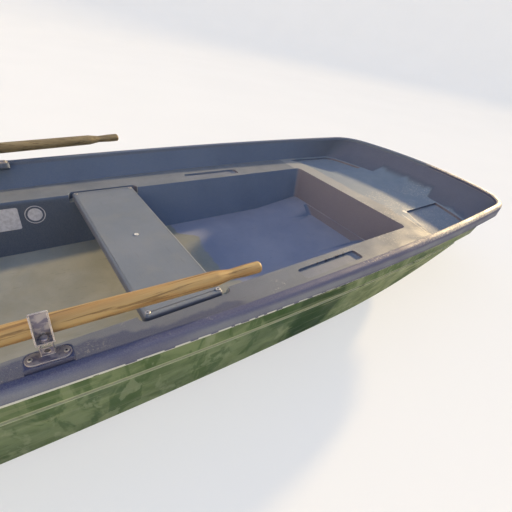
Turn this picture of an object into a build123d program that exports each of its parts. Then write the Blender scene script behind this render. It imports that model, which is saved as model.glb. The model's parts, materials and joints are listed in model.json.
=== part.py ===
"""Moulded double-skinned rowing boat with a blunt bow, one thwart and two oars.

The frame: +X is the bow, +Y is port, +Z is up, millimetres.
The origin is under the middle of the length, on the bottom of the two runners.
"""
from build123d import *
import math
import os

# Overall form
LENGTH = 4050.0
HALF_LENGTH = LENGTH / 2
RIM_HALF_BEAM = 726.0        # outside of the rolled rim at the fullest station
FULLEST_X = 700.0            # station where the boat is widest
SIDE_RADIUS = 17000.0        # plan curve of the sides
BOW_RADIUS = 1650.0          # plan curve of the blunt bow; what lies inside is parallel
STERN_RADIUS = 6000.0        # plan curve of the transom
DECK_Z = 345.0               # side decks
CREST_HEIGHT = 126.0         # top of the rim over the side decks amidships
SHEER_DEG = 0.62             # the rim rises towards the bow by this angle
SKIN = 5.0                   # wall of the inner moulding
FIT = 0.3                    # gap round fitted pieces
OVERLAP = 1.0                # cuts and joins run this far past the face they meet
SKIN_GAP = 0.5               # gap between the two mouldings

# Rolled rim
RIM_WIDTH = 35.0
RIM_ROUND = 19.0             # outboard edge of the crest
RIM_INNER_ROUND = 10.0       # inboard edge of the crest
CAP_HEIGHT = 20.0            # depth of the rounded crest
LIP_Z = 422.0                # lower edge of the rim's outer lip amidships
LIP_DEG = -0.1               # it sinks a little towards the bow, so that the rim grows deeper
LIP_LEAN = 1.0               # how much narrower the lip is at its lower edge
BOW_CORNER = 250.0
STERN_CORNER = 90.0

# Bulwark and side decks
WALL_LEAN = 34.5             # the bulwark's foot lies this much inboard of its top
BOW_RAKE = 212.0             # the bow wall's foot lies this much aft of its top
STERN_RAKE = 26.0
FOOT_CORNER = 120.0

# Outer hull
STRAKE_HALF = RIM_HALF_BEAM - 25.0   # upper strake at the top of its flange, inside the rim
STRAKE_LEAN = 10.0
STRAKE_BOW = HALF_LENGTH - 38.0
STRAKE_STERN = 22.0 - HALF_LENGTH
STRAKE_CORNER = 230.0
FLANGE_DROP = 21.0           # top of the hull's flange below the crest
LAP_Z = 325.0                # step between the upper and the lower strake
LAP_STEP = 6.0
LAP_BOW_RAKE = 202.0
LAP_CORNER = 170.0
LOWER_LEAN_DEG = 16.0
TRANSOM_RAKE_DEG = 5.0
RUNNER_HEIGHT = 12.0
BOTTOM_HALF = 500.0          # flat of the bottom
BILGE_SLOPE = 0.585          # rise of the bilge for each unit outwards
BILGE_SWEEP = 1.3            # how fast the bilge draws aft at the bow
ROCKER_X = 600.0             # the bottom is flat up to here
ROCKER_RADIUS = 2261.0
ROCKER_SWEEP = math.radians(76.6)    # the arc ends ahead of the bow
PAN_DEPTH = 12.0             # hull under the side decks at the bow corners
PAN_BEVEL = 30.0

# Cockpit
COCKPIT_HALF = 466.0
COCKPIT_BOW = 1131.0
COCKPIT_STERN = -1330.0
COCKPIT_LEAN = 62.0
COCKPIT_END_LEAN = 38.0
COCKPIT_CORNER = 32.0
FLOOR_DEPTH = 240.0
CHANNEL_DEPTH = 48.0
CHANNEL_HALF = 140.0
CHANNEL_LEAN = 80.0
CHANNEL_END = 60.0
CHANNEL_END_LEAN = 14.0
RAMP_X = 735.0               # the floor rises forward of here
RAMP_RISE = 40.0

# Foredeck
POCKET_INNER = 336.0         # the foredeck's middle reaches this far out
POCKET_X = 1337.0            # aft end of a pocket at its inboard edge
POCKET_SLANT_DEG = 27.5      # its aft edge draws aft towards the bulwark
POCKET_DEPTH = 14.0
POCKET_MARGIN = 24.0         # from the pocket's edge to the bulwark
POCKET_CORNER = 30.0

# Trays in the side decks
TRAY_X = 422.5
TRAY_LENGTH = 375.0
TRAY_INNER = 500.0
TRAY_OUTER = 566.0
TRAY_DEPTH = 11.0
TRAY_CORNER = 16.0

# Stern bench, moulded in the liner
BENCH_STERN = 145.0 - HALF_LENGTH
BENCH_BOW = -1410.0
BENCH_HALF = 370.0
BENCH_DEPTH = 18.0
BENCH_CORNER = 45.0

# Thwart
THWART_X = -260.0
THWART_WIDTH = 293.0
THWART_HALF = 484.0
THWART_THICK = 36.0
THWART_PROUD = 2.0
THWART_ROUND = 9.0
THWART_CORNER = 16.0
SEAT_X = -255.5
SEAT_WIDTH = 339.0
SEAT_HALF = 498.0
SEAT_CORNER = 26.0
SCREW_SPACING_X = 263.0
SCREW_SPACING_Y = 928.0
SCREW_HEAD_R = 9.0
SCREW_HEAD_H = 3.0
SCREW_R = 3.5
SCREW_LENGTH = 30.0
PLUG_R = 9.0
PLUG_H = 3.0

# Oarlocks
LOCK_X = -673.0
LOCK_Y = RIM_HALF_BEAM - 120.0       # the bracket's pin
LOCK_TURN_DEG = 6.0          # the plate lies along the boat's side
BOSS_LENGTH = 100.0
BOSS_INNER = LOCK_Y - 14.0
BOSS_CORNER = 16.0
BOSS_TOP = 127.0             # over the side deck
BOSS_NOSE = 18.0             # its upright inboard face
BOSS_DEPTH = 52.0            # at the bulwark
PLATE_OUT = 10.0             # middle of the plate outboard of the pin
PLATE_LENGTH = 94.0
PLATE_WIDTH = 36.0
PLATE_THICK = 4.0
PLATE_HOLE_SPACING = 72.0
PLATE_HOLE_R = 3.2
PLATE_SCREW_R = 3.0
PLATE_SCREW_HEAD_R = 5.5
PLATE_SCREW_HEAD_H = 2.4
NECK_LENGTH = 28.0
NECK_WIDTH = 16.0
NECK_HEIGHT = 38.0
NECK_THICK = 3.0
NECK_FRONT = 24.0            # height of its outboard face
NECK_HOLE_R = 6.5            # through that face
NECK_HOLE_Z = 13.0           # over the plate
PIN_R = 4.0
PIN_HEAD_R = 9.0
PIN_HEAD_H = 8.0
PIN_HEAD_ROUND = 2.5
PIN_NUT_R = 6.2
PIN_NUT_H = 6.0
RUN_FIT = 0.05               # radial clearance of turning pins
BRACKET_LENGTH = 38.0
BRACKET_HEIGHT = 75.0
BRACKET_THICK = 3.0
BRACKET_FRONT = 12.0         # the seat's free edge from the pin
BRACKET_BACK = 9.5           # the back's free face from the pin
BRACKET_LIP = 5.0            # depth of its cheeks at the top
BOLT_R = 4.0
BOLT_HEIGHT = 10.0           # oar's centre over the bracket's seat
BOLT_NUT_R = 8.5
BOLT_NUT_H = 7.0
OAR_GAP = 0.5                # from the oar's side to the bracket's back

# Oars
OAR_INBOARD = 598.0
OAR_OUTBOARD = 1300.0
OAR_DROP_DEG = 0.2           # blade end below level as the oar lies
OAR_TOE_PORT_DEG = 9.5       # blade end inboard of fore and aft
OAR_TOE_STARBOARD_DEG = 3.2
LOOM_R = 23.5
OAR_NECK_R = 16.0
GRIP_R = 19.0
GRIP_LENGTH = 110.0
GRIP_ROUND = 10.0            # edge of the grip's blunt end
NECK_TAPER = 50.0            # from the neck behind the grip to the full loom
LOOM_OUTBOARD = 325.0        # the loom keeps its full size to here
SHAFT_TIP_R = 15.0
BLADE_LENGTH = 480.0
BLADE_WIDTH = 130.0
BLADE_THICK = 13.0
BLADE_EDGE = 6.0
BLADE_WIDEST = 120.0         # back from the tip
BLADE_NECK = 12.0            # half-width where the blade leaves the shaft
BLADE_SHOULDER = 45.5        # half-width halfway along
BLADE_CORNER = 53.3          # half-width on the rounded tip corner
BLADE_CORNER_X = 21.7        # that corner's distance back from the tip
BLADE_TIP = 32.5             # half-width of the square end

# Fittings at bow and stern
PAD_WIDTH = 300.0
PAD_HEIGHT = 150.0
PAD_DROP = 3.0               # top of the outer board below the seam bead
PAD_OUTER_THICK = 18.0
PAD_INNER_HEIGHT = 74.0
PAD_INNER_THICK = 12.0
PAD_CORNER = 20.0
EYE_Z = 378.0
EYE_BORE_R = 12.0
EYE_WALL = 9.0
EYE_THICK = 10.0
EYE_STAND = 24.0             # bore's centre out from its plate
EYE_PLATE_LENGTH = 90.0
EYE_PLATE_WIDTH = 34.0
EYE_PLATE_THICK = 4.0
BEAD_WIDTH = 24.0
BEAD_HEIGHT = 5.0
DRAIN_R = 16.0
DRAIN_KNOB_R = 9.6
DRAIN_Z = 70.0
DRAIN_FLANGE = 4.0
RUNNER_WIDTH = 44.0
RUNNER_Y = 300.0
RUNNER_STERN = 145.0 - HALF_LENGTH
RUNNER_BOW = 760.0
RUNNER_CHAMFER = 24.0
RUNNER_TAPER = 120.0

SHEER = math.radians(SHEER_DEG)
CREST_Z = DECK_Z + CREST_HEIGHT
WELL_HALF = RIM_HALF_BEAM - RIM_WIDTH   # half of the room between the rims
TOP_MARGIN = 120.0           # open hollows are drawn up to this far over the rim
SIDES = (("port", 1), ("starboard", -1))


def crest_z(x):
    """Height of the rim's crest at a station."""
    return CREST_Z + x * math.tan(SHEER)


def rising_plane(z, angle):
    """Plane at a height amidships that rises towards the bow."""
    return Plane(
        origin=(0, 0, z),
        x_dir=(math.cos(angle), 0, math.sin(angle)),
        z_dir=(-math.sin(angle), 0, math.cos(angle)),
    )


def crest_plane():
    return rising_plane(CREST_Z, SHEER)


def lip_plane():
    return rising_plane(LIP_Z, math.radians(LIP_DEG))


def level(z):
    return Plane(origin=(0, 0, z))


def corner_point(end_x, end_radius, half, direction):
    """Where a side arc meets the arc of the bow (direction 1) or stern (-1)."""
    reach = SIDE_RADIUS + half
    side_centre = Vector(FULLEST_X, -SIDE_RADIUS)
    between = Vector(end_x - direction * end_radius, 0) - side_centre
    span = between.length
    along = (reach ** 2 - end_radius ** 2 + span ** 2) / (2 * span)
    across = direction * math.sqrt(reach ** 2 - along ** 2)
    unit = between.normalized()
    point = side_centre + unit * along + Vector(unit.Y, -unit.X) * across
    return point.X, point.Y


def outline(half, bow, stern, bow_corner, stern_corner):
    """Plan outline of the boat: side, bow and stern arcs with rounded corners."""
    bow_x, bow_y = corner_point(bow, BOW_RADIUS + bow - HALF_LENGTH, half, 1)
    stern_x, stern_y = corner_point(stern, STERN_RADIUS - stern - HALF_LENGTH, half, -1)
    edges = [
        ThreePointArc((stern_x, stern_y), (FULLEST_X, half), (bow_x, bow_y)),
        ThreePointArc((bow_x, bow_y), (bow, 0), (bow_x, -bow_y)),
        ThreePointArc((bow_x, -bow_y), (FULLEST_X, -half), (stern_x, -stern_y)),
        ThreePointArc((stern_x, -stern_y), (stern, 0), (stern_x, stern_y)),
    ]
    face = make_face(edges)
    face = fillet(face.vertices().sort_by(Axis.X)[-2:], bow_corner)
    return fillet(face.vertices().sort_by(Axis.X)[:2], stern_corner)


def tapered(low_plane, low, high_plane, high):
    """Solid between two outlines."""
    return loft([low_plane * low, high_plane * high], ruled=True)


def rim_outline(inset):
    """Plan outline of the crest, drawn this much inside the boat's outer edge."""
    return outline(
        RIM_HALF_BEAM - inset, HALF_LENGTH - inset, inset - HALF_LENGTH,
        BOW_CORNER - inset, STERN_CORNER - inset,
    )


def rim_cap():
    """Rounded crest of the rim, swept round the boat."""
    path = crest_plane() * rim_outline(RIM_WIDTH / 2).wires()[0]
    start = path @ 0
    along = path % 0
    across = crest_plane().z_dir.cross(along)
    outward = math.copysign(1, across.dot(start))
    section = Pos(0, -CAP_HEIGHT / 2) * Rectangle(RIM_WIDTH, CAP_HEIGHT)
    section = fillet(top_corner(section, outward), RIM_ROUND)
    section = fillet(top_corner(section, -outward), RIM_INNER_ROUND)
    return sweep(Plane(origin=start, x_dir=across, z_dir=along) * section, path=path)


def top_corner(section, way):
    """Upper corner of a section, the right one (way 1) or the left one (-1)."""
    corners = section.vertices().group_by(Axis.Y)[-1].sort_by(Axis.X)
    return corners[-1] if way > 0 else corners[0]


def rim_block():
    """The rim's outer form, from the lip's lower edge to below the crest."""
    low = outline(
        RIM_HALF_BEAM - LIP_LEAN, HALF_LENGTH - LIP_LEAN, LIP_LEAN - HALF_LENGTH,
        BOW_CORNER, STERN_CORNER,
    )
    return tapered(lip_plane(), low, crest_plane().offset(-CAP_HEIGHT), rim_outline(0))


def well_top(grow=0.0):
    """Plan outline inside the rim, on the plane of the crest's underside."""
    half = WELL_HALF + grow
    end = HALF_LENGTH - RIM_WIDTH + grow
    corner = BOW_CORNER - RIM_WIDTH + grow
    plan = outline(half, end, -end, corner, STERN_CORNER - RIM_WIDTH + grow)
    return crest_plane().offset(-CAP_HEIGHT) * plan


def bulwark_form(grow=0.0):
    """Room inside the bulwark, from the side decks up to the crest's underside."""
    half = WELL_HALF + grow
    end = HALF_LENGTH - RIM_WIDTH + grow
    foot = outline(
        half - WALL_LEAN, end - BOW_RAKE, STERN_RAKE - end, FOOT_CORNER, STERN_CORNER / 2,
    )
    return loft([level(DECK_Z - grow) * foot, well_top(grow)], ruled=True)


def well(grow=0.0):
    """The same room, open upwards."""
    return bulwark_form(grow) + extrude(well_top(grow), TOP_MARGIN)


def cockpit(grow=0.0):
    """Air of the cockpit below the side decks, with the channel in its floor."""
    bow, stern, half = COCKPIT_BOW + grow, COCKPIT_STERN - grow, COCKPIT_HALF + grow
    floor_z = DECK_Z - FLOOR_DEPTH - grow
    top = rounded_box(stern, bow, half, COCKPIT_CORNER)
    foot = rounded_box(
        stern + COCKPIT_END_LEAN, bow - COCKPIT_END_LEAN, half - COCKPIT_LEAN, COCKPIT_CORNER,
    )
    tub = tapered(level(floor_z), foot, level(DECK_Z), top)
    tub += extrude(level(DECK_Z) * top, OVERLAP)
    tub -= ramp(floor_z)
    channel_z = floor_z - CHANNEL_DEPTH
    channel_top = DECK_Z - FLOOR_DEPTH + RAMP_RISE
    channel_half = CHANNEL_HALF + grow
    share = (channel_top - channel_z) / CHANNEL_DEPTH
    high_end = CHANNEL_END - CHANNEL_END_LEAN * share
    low = rounded_box(stern + CHANNEL_END, bow - CHANNEL_END, channel_half, COCKPIT_CORNER)
    high = rounded_box(
        stern + high_end, bow - high_end, channel_half + CHANNEL_LEAN * share, COCKPIT_CORNER,
    )
    channel = tapered(level(channel_z), low, level(channel_top), high)
    return tub + (channel - ramp(channel_z))


def rounded_box(stern, bow, half, corner):
    """Plan of a hollow between two stations."""
    return Pos((stern + bow) / 2, 0) * RectangleRounded(bow - stern, 2 * half, corner)


def ramp(z):
    """Wedge that lifts a floor towards the bow."""
    run = COCKPIT_BOW - COCKPIT_END_LEAN - RAMP_X
    reach = 2 * run
    wedge = make_face(Polyline(
        (RAMP_X, z), (RAMP_X + reach, z + RAMP_RISE * reach / run),
        (RAMP_X + reach, z - CHANNEL_DEPTH * 2), (RAMP_X, z - CHANNEL_DEPTH * 2), close=True,
    ))
    return extrude(Plane.XZ * wedge, LENGTH / 4, both=True)


def seat_cut(grow=0.0):
    """Recess across both side decks that holds the thwart's ends."""
    depth = THWART_THICK - THWART_PROUD + grow
    seat = RectangleRounded(SEAT_WIDTH + 2 * grow, 2 * (SEAT_HALF + grow), SEAT_CORNER)
    return Pos(SEAT_X, 0, DECK_Z - depth) * extrude(seat, depth + OVERLAP)


def tray_cut(side, grow=0.0):
    """Shallow tray in a side deck."""
    depth = TRAY_DEPTH + grow
    plan = RectangleRounded(
        TRAY_LENGTH + 2 * grow, TRAY_OUTER - TRAY_INNER + 2 * grow, TRAY_CORNER,
    )
    centre = side * (TRAY_INNER + TRAY_OUTER) / 2
    return Pos(TRAY_X, centre, DECK_Z - depth) * extrude(plan, depth + OVERLAP)


def bench_cut(grow=0.0):
    """Seat hollow in the stern bench."""
    depth = BENCH_DEPTH + grow
    plan = rounded_box(BENCH_STERN - grow, BENCH_BOW + grow, BENCH_HALF + grow, BENCH_CORNER)
    return Pos(0, 0, DECK_Z - depth) * extrude(plan, depth + OVERLAP)


def pocket_cut(side, grow=0.0):
    """Low corner of the foredeck beside its middle."""
    margin = POCKET_MARGIN - grow
    half = WELL_HALF - WALL_LEAN - margin
    end = HALF_LENGTH - RIM_WIDTH - BOW_RAKE - margin
    plan = outline(half, end, -end, FOOT_CORNER, FOOT_CORNER)
    slant = math.radians(POCKET_SLANT_DEG)
    corners = []
    for y in (POCKET_INNER - grow, RIM_HALF_BEAM):
        x = POCKET_X - (y - POCKET_INNER) * math.tan(slant) - grow / math.cos(slant)
        corners.append((x, side * y))
    (_, inner), (_, outer) = corners
    window = make_face(Polyline(*corners, (HALF_LENGTH, outer), (HALF_LENGTH, inner), close=True))
    depth = POCKET_DEPTH + grow
    return Pos(0, 0, DECK_Z - depth) * extrude(plan & window, depth + OVERLAP)


def hollows(grow=0.0):
    """Everything below the side decks that the liner is moulded round."""
    cuts = [cockpit(grow), seat_cut(grow), bench_cut(grow)]
    for _, side in SIDES:
        cuts.append(tray_cut(side, grow))
        cuts.append(pocket_cut(side, grow))
    return cuts


def lock_seat(side):
    """Place of an oarlock's base, turned along the boat's side."""
    return Pos(LOCK_X, side * LOCK_Y, lock_top()) * Rot(0, 0, side * LOCK_TURN_DEG)


def lock_boss(side):
    """Moulded shelf at the top of the bulwark that carries an oarlock."""
    inner = BOSS_INNER - LOCK_Y
    outer = RIM_HALF_BEAM - LOCK_Y
    width = outer - inner
    plan = Pos(0, side * (inner + width / 2)) * RectangleRounded(BOSS_LENGTH, width, BOSS_CORNER)
    profile = make_face(Polyline(
        (side * inner, 0), (side * inner, -BOSS_NOSE), (side * outer, -BOSS_DEPTH * 2),
        (side * outer, 0), close=True,
    ))
    block = extrude(plan, -BOSS_DEPTH) & extrude(Plane.YZ * profile, BOSS_LENGTH, both=True)
    return lock_seat(side) * block & well(-FIT)


def inner_liner():
    """Inner moulding: rim, bulwark, side decks, cockpit and foredeck in one skin."""
    outer = rim_block() + bulwark_form(SKIN)
    for cut in hollows(SKIN):
        outer += cut
    solid = outer - well()
    for cut in hollows():
        solid -= cut
    return solid - hull_flange() + rim_cap()


def flange_plane():
    return crest_plane().offset(-FLANGE_DROP)


def strake_top(grow=0.0):
    """Plan outline of the topsides at the top of the flange."""
    half = STRAKE_HALF + grow
    return outline(half, STRAKE_BOW + grow, STRAKE_STERN - grow, STRAKE_CORNER, STERN_CORNER)


def upper_strake(grow=0.0):
    """Topsides from the lap up to the flange inside the rim."""
    half = STRAKE_HALF + grow
    bow = STRAKE_BOW + grow
    stern = STRAKE_STERN - grow
    low = outline(
        half - STRAKE_LEAN, bow - LAP_BOW_RAKE, stern + STRAKE_LEAN, LAP_CORNER, STERN_CORNER,
    )
    pan = outline(
        half - STRAKE_LEAN - PAN_BEVEL, bow - LAP_BOW_RAKE - PAN_BEVEL,
        stern + STRAKE_LEAN + PAN_BEVEL, LAP_CORNER, STERN_CORNER,
    )
    side = tapered(level(LAP_Z), low, flange_plane(), strake_top(grow))
    return side + tapered(level(LAP_Z - PAN_DEPTH), pan, level(LAP_Z), low)


def hull_flange():
    """Room for the hull's flange inside the rim."""
    room = upper_strake(SKIN_GAP) + extrude(flange_plane() * strake_top(SKIN_GAP), SKIN_GAP)
    keep = extrude(lip_plane().offset(-OVERLAP) * Rectangle(2 * LENGTH, LENGTH), TOP_MARGIN)
    return (room - well(SKIN)) & keep


def lower_strake(grow=0.0):
    """Hull below the lap, before its bottom is shaped."""
    drop = LAP_Z - RUNNER_HEIGHT
    half = STRAKE_HALF - STRAKE_LEAN + LAP_STEP + grow
    bow = STRAKE_BOW - LAP_BOW_RAKE + LAP_STEP + grow
    stern = STRAKE_STERN + STRAKE_LEAN - LAP_STEP - grow
    high = outline(half, bow, stern, LAP_CORNER, STERN_CORNER)
    low = outline(
        half - drop * math.tan(math.radians(LOWER_LEAN_DEG)), bow,
        stern + drop * math.tan(math.radians(TRANSOM_RAKE_DEG)), LAP_CORNER, STERN_CORNER,
    )
    return tapered(level(RUNNER_HEIGHT), low, level(LAP_Z), high)


def bottom_profile():
    """Side profile under which nothing of the hull reaches."""
    start, mid, end = [
        (
            ROCKER_X + ROCKER_RADIUS * math.sin(angle),
            RUNNER_HEIGHT + ROCKER_RADIUS * (1 - math.cos(angle)),
        )
        for angle in (0, ROCKER_SWEEP / 2, ROCKER_SWEEP)
    ]
    stern = -LENGTH
    edges = [
        Line((stern, RUNNER_HEIGHT), start),
        ThreePointArc(start, mid, end),
        Line(end, (stern, end[1])),
        Line((stern, end[1]), (stern, RUNNER_HEIGHT)),
    ]
    return make_face(edges)


def bottom_form():
    """Flat bottom with its rocker, and a bilge that rises outwards and draws aft."""
    profile = bottom_profile()
    form = extrude(Plane.XZ * profile, BOTTOM_HALF, both=True)
    reach = RIM_HALF_BEAM - BOTTOM_HALF
    for _, side in SIDES:
        face = Pos(0, side * BOTTOM_HALF, 0) * (Plane.XZ * profile)
        way = Vector(-BILGE_SWEEP, side, BILGE_SLOPE)
        form += extrude(face, amount=reach * way.length, dir=way)
    return form


def runner(side):
    """Rib along the bottom that the boat stands on."""
    rise = RUNNER_HEIGHT
    side_view = make_face(Polyline(
        (RUNNER_STERN, rise + SKIN), (RUNNER_STERN, rise), (RUNNER_STERN + RUNNER_CHAMFER, 0),
        (RUNNER_BOW - RUNNER_TAPER, 0), (RUNNER_BOW, rise + OVERLAP), (RUNNER_BOW, rise + SKIN),
        close=True,
    ))
    rib = extrude(Plane.XZ * side_view, RUNNER_WIDTH / 2, both=True)
    return Pos(0, side * RUNNER_Y, 0) * rib


def hull_shell():
    """Outer moulding with its buoyancy, closed against the liner."""
    solid = (lower_strake() & bottom_form()) + upper_strake()
    for _, side in SIDES:
        solid += runner(side)
    solid -= well(SKIN + SKIN_GAP)
    for cut in hollows(SKIN + SKIN_GAP):
        solid -= cut
    return solid


def seam_bead():
    """Pale strip that covers the joint under the lip."""
    lip = LIP_Z - FIT
    inner = upper_strake(FIT)
    outer = upper_strake(FIT + BEAD_WIDTH)
    ring = outer - inner
    slab = rising_plane(lip - BEAD_HEIGHT, math.radians(LIP_DEG)) * Rectangle(2 * LENGTH, LENGTH)
    return ring & extrude(slab, BEAD_HEIGHT)


def thwart():
    plank = extrude(RectangleRounded(THWART_WIDTH, 2 * THWART_HALF, THWART_CORNER), THWART_THICK)
    plank = fillet(plank.faces().sort_by(Axis.Z)[-1].edges(), THWART_ROUND)
    base = DECK_Z + THWART_PROUD - THWART_THICK
    plank = Pos(THWART_X, 0, base) * plank
    for x, y in screw_places():
        plank -= Pos(x, y, base) * Cylinder(SCREW_R, 3 * THWART_THICK)
    return plank


def screw_places():
    """The thwart's four screws."""
    places = []
    for dx in (-1, 1):
        for dy in (-1, 1):
            places.append((THWART_X + dx * SCREW_SPACING_X / 2, dy * SCREW_SPACING_Y / 2))
    return places


def thwart_screws():
    """Pan-head screws through the thwart into the liner."""
    top = DECK_Z + THWART_PROUD
    screws = []
    for x, y in screw_places():
        head = Pos(x, y, top + SCREW_HEAD_H / 2) * Cylinder(SCREW_HEAD_R, SCREW_HEAD_H)
        head = fillet(head.edges().sort_by(Axis.Z)[-1], SCREW_HEAD_H / 2)
        shank = Pos(x, y, top - SCREW_LENGTH / 2) * Cylinder(SCREW_R - FIT, SCREW_LENGTH)
        screws.append(head + shank)
    return Compound(children=screws)


def thwart_plug():
    """Pale plug in the middle of the thwart."""
    plug = Pos(THWART_X, 0, DECK_Z + THWART_PROUD + PLUG_H / 2) * Cylinder(PLUG_R, PLUG_H)
    return fillet(plug.edges().sort_by(Axis.Z)[-1], PLUG_H / 2)


def lock_top():
    return DECK_Z + BOSS_TOP


def plate_holes(side):
    return [(-PLATE_HOLE_SPACING / 2, side * PLATE_OUT), (PLATE_HOLE_SPACING / 2, side * PLATE_OUT)]


def lock_plate(side):
    """Base plate with its folded neck, which carries the bracket's pin."""
    plan = Pos(0, side * PLATE_OUT) * SlotOverall(PLATE_LENGTH, PLATE_WIDTH)
    plate = extrude(plan, PLATE_THICK)
    for x, y in plate_holes(side):
        plate -= Pos(x, y, 0) * Cylinder(PLATE_HOLE_R, 3 * PLATE_THICK)
    neck = Rectangle(NECK_LENGTH, NECK_HEIGHT)
    neck = fillet(neck.vertices().sort_by(Axis.Y)[-2:], 2 * NECK_THICK)
    inner = Pos(0, -NECK_THICK) * Rectangle(NECK_LENGTH - 2 * NECK_THICK, NECK_HEIGHT)
    inner = fillet(inner.vertices().sort_by(Axis.Y)[-2:], NECK_THICK)
    fold = extrude(Plane.XZ * (neck - inner), NECK_WIDTH / 2, both=True)
    fold = Pos(0, 0, PLATE_THICK + NECK_HEIGHT / 2) * fold
    fold -= Pos(0, 0, PLATE_THICK + NECK_HEIGHT) * Cylinder(PIN_R + RUN_FIT, 4 * NECK_THICK)
    return lock_seat(side) * (plate + fold + neck_front(side))


def neck_front(side):
    """Low outboard face of the neck, with a round hole."""
    front = Box(NECK_LENGTH - NECK_THICK, NECK_THICK, NECK_FRONT)
    hole = Rot(90, 0, 0) * Cylinder(NECK_HOLE_R, 3 * NECK_THICK)
    front -= Pos(0, 0, NECK_HOLE_Z - NECK_FRONT / 2) * hole
    return Pos(0, side * (NECK_WIDTH - NECK_THICK) / 2, PLATE_THICK + NECK_FRONT / 2) * front


def plate_screws(side):
    """Two screws that hold an oarlock's plate."""
    screws = []
    for x, y in plate_holes(side):
        head = Pos(x, y, PLATE_THICK + PLATE_SCREW_HEAD_H / 2) * Cylinder(
            PLATE_SCREW_HEAD_R, PLATE_SCREW_HEAD_H,
        )
        head = fillet(head.edges().sort_by(Axis.Z)[-1], PLATE_SCREW_HEAD_H / 2)
        head += Pos(x, y, PLATE_THICK / 2) * Cylinder(PLATE_SCREW_R, PLATE_THICK)
        screws.append(lock_seat(side) * head)
    return Compound(children=screws)


def bracket_base():
    """Height of the bracket's underside."""
    return lock_top() + PLATE_THICK + NECK_HEIGHT + FIT


def pivot_z():
    """Height of the oar's cross bolt."""
    return bracket_base() + BRACKET_THICK + BOLT_HEIGHT


def oar_offset():
    """From the bracket's pin to the middle of the oar, to port on both sides of the boat."""
    return BRACKET_BACK + BRACKET_THICK + OAR_GAP + LOOM_R


def lock_place(side, toe, z):
    """Place on the bracket's pin at a height, turned with the oar."""
    return Pos(LOCK_X, side * LOCK_Y, z) * Rot(0, 0, side * toe)


def lock_yoke(side, toe):
    """Bracket that turns on the neck: a seat and an upright back between two cheeks, with its pin."""
    thick = BRACKET_THICK
    back_y = BRACKET_BACK + thick
    depth = BRACKET_FRONT + back_y
    plan = Pos(0, back_y - depth / 2) * Rectangle(BRACKET_LENGTH, depth)
    bracket = extrude(plan, thick)
    upright = Pos(0, BRACKET_HEIGHT / 2) * Rectangle(BRACKET_LENGTH, BRACKET_HEIGHT)
    upright = fillet(upright.vertices().sort_by(Axis.Y)[-2:], thick)
    upright -= Pos(0, thick + BOLT_HEIGHT) * Circle(BOLT_R + RUN_FIT)
    back = extrude(Plane.XZ * upright, thick / 2, both=True)
    bracket += Pos(0, BRACKET_BACK + thick / 2, 0) * back
    cheek = make_face(Polyline(
        (-BRACKET_FRONT, 0), (back_y, 0), (back_y, BRACKET_HEIGHT - thick),
        (BRACKET_BACK - BRACKET_LIP, BRACKET_HEIGHT - thick), (-BRACKET_FRONT, 2 * thick), close=True,
    ))
    for end in (-1, 1):
        x = end * (BRACKET_LENGTH - thick) / 2
        bracket += Pos(x, 0, 0) * extrude(Plane.YZ * cheek, thick / 2, both=True)
    head = Pos(0, 0, thick + PIN_HEAD_H / 2) * Cylinder(PIN_HEAD_R, PIN_HEAD_H)
    bracket += fillet(head.edges().sort_by(Axis.Z)[-1], PIN_HEAD_ROUND)
    pin_length = FIT + NECK_THICK + PIN_NUT_H + FIT
    bracket += Pos(0, 0, -pin_length / 2) * Cylinder(PIN_R, pin_length)
    nut_z = -FIT - NECK_THICK - FIT - PIN_NUT_H / 2
    bracket += Pos(0, 0, nut_z) * extrude(RegularPolygon(PIN_NUT_R, 6), PIN_NUT_H / 2, both=True)
    return lock_place(side, toe, bracket_base()) * bracket


def oar_bolt(side, toe):
    """Cross bolt, flush in the bracket's back, with its nut beyond the oar."""
    nut_y = oar_offset() + LOOM_R + OAR_GAP
    length = nut_y + BOLT_NUT_H - BRACKET_BACK
    shank = Pos(0, BRACKET_BACK + length / 2, 0) * (Rot(90, 0, 0) * Cylinder(BOLT_R, length))
    nut = extrude(RegularPolygon(BOLT_NUT_R, 6), BOLT_NUT_H / 2, both=True)
    nut = Pos(0, nut_y + BOLT_NUT_H / 2, 0) * (Rot(90, 0, 0) * nut)
    return lock_place(side, toe, pivot_z()) * (shank + nut)


# Oar, as (distance forward of the bolt, radius)
SHAFT = (
    (OAR_INBOARD - GRIP_ROUND, GRIP_R),
    (OAR_INBOARD - GRIP_LENGTH / 2, GRIP_R),
    (OAR_INBOARD - GRIP_LENGTH, OAR_NECK_R),
    (OAR_INBOARD - GRIP_LENGTH - NECK_TAPER, LOOM_R),
    (-LOOM_OUTBOARD, LOOM_R),
    (BLADE_LENGTH - OAR_OUTBOARD, SHAFT_TIP_R),
    (BLADE_WIDEST - OAR_OUTBOARD, BLADE_THICK / 2),
)


def oar_shaft():
    """Loom with a swollen, blunt-ended grip, turned about the oar's axis."""
    end = OAR_INBOARD - GRIP_ROUND
    flat = GRIP_R - GRIP_ROUND
    diagonal = GRIP_ROUND * math.sqrt(0.5)
    edges = [
        ThreePointArc((end, GRIP_R), (end + diagonal, flat + diagonal), (OAR_INBOARD, flat)),
        Line((OAR_INBOARD, flat), (OAR_INBOARD, 0)),
        Line((OAR_INBOARD, 0), (SHAFT[-1][0], 0)),
        Line((SHAFT[-1][0], 0), SHAFT[-1]),
    ]
    for low, high in zip(SHAFT[1:], SHAFT[:-1]):
        edges.append(Line(low, high))
    return revolve(Plane.XZ * make_face(edges), Axis.X)


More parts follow.
